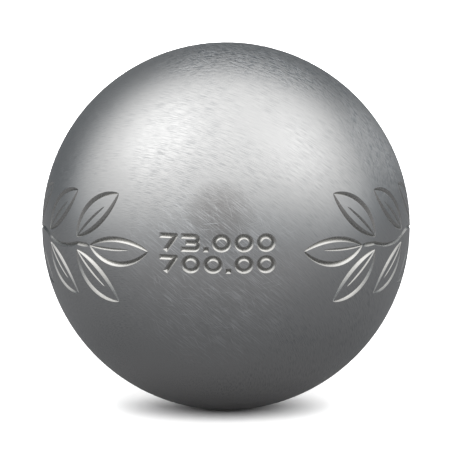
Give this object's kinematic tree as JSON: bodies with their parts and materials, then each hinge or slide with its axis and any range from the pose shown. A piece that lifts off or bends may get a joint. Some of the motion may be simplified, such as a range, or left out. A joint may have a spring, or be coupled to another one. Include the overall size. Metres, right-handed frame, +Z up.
{
  "type": "petanque boule",
  "caption": "Hollow steel throwing ball of two forged half shells joined by a flush butt weld, engraved with a belt of leaf sprigs.",
  "frame": {"origin": "centre of the ball", "axes": "+Z up, -Y the front where the plain numbers are engraved, +X the normal of the weld's plane"},
  "size_m": [0.073, 0.073, 0.073],
  "materials": {
    "satin_steel": "satin turned and tumbled carbon steel with fine crossing scratches",
    "weld_steel": "weld metal, turned flush with the ball outside and left as laid inside"
  },
  "bodies": {
    "root": {"left_half_shell": "satin_steel", "right_half_shell": "satin_steel", "weld_bead": "weld_steel"}
  },
  "joints": []
}
